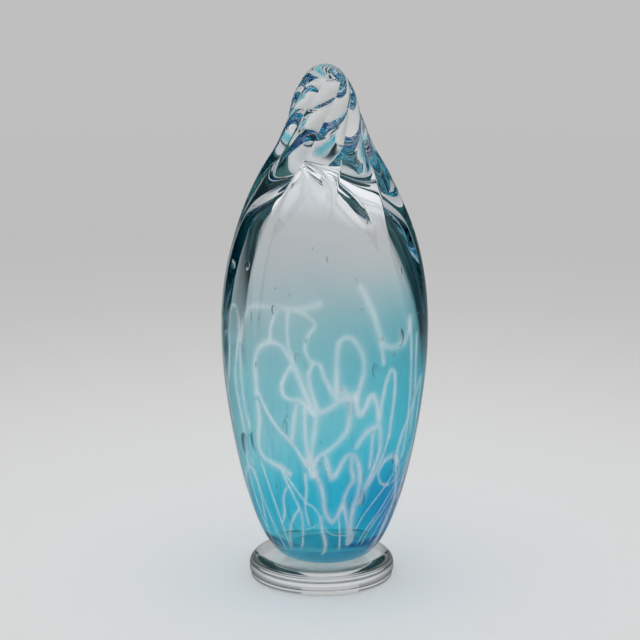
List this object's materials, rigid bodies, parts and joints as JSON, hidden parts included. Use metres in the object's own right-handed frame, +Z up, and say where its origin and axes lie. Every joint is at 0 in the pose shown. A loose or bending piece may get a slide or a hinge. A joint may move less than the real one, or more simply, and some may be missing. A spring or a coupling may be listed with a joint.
{
  "type": "glass shell sculpture",
  "caption": "Blown glass bud-shaped sculpture: clear ribbed casing twisted to a point over a blue bubble with white lace, on a clear disc foot.",
  "frame": {"origin": "on the body's vertical axis, at the underside of the foot plate", "axes": "+Z up along the body to the twisted tip, +X to the right and -Y to the viewer in the picture"},
  "size_m": [0.1072, 0.1072, 0.2724],
  "materials": {
    "clear_glass": "fire-polished clear glass",
    "blue_glass": "transparent aqua blue glass",
    "white_lace_glass": "opal white glass thread",
    "foot_glass": "polished clear disc",
    "clear_adhesive": "cured clear adhesive film"
  },
  "bodies": {
    "root": {"clear_casing": "clear_glass", "blue_bubble": "blue_glass", "base_bond": "clear_adhesive", "seam_bond": "clear_adhesive", "foot_disc": "foot_glass", "foot_plate": "foot_glass", "lace_thread_01": "white_lace_glass", "lace_thread_02": "white_lace_glass", "lace_thread_03": "white_lace_glass", "lace_thread_04": "white_lace_glass", "lace_thread_05": "white_lace_glass", "lace_thread_06": "white_lace_glass", "lace_thread_07": "white_lace_glass", "lace_thread_08": "white_lace_glass", "lace_thread_09": "white_lace_glass", "lace_thread_10": "white_lace_glass", "lace_thread_11": "white_lace_glass", "lace_thread_12": "white_lace_glass"}
  },
  "joints": []
}
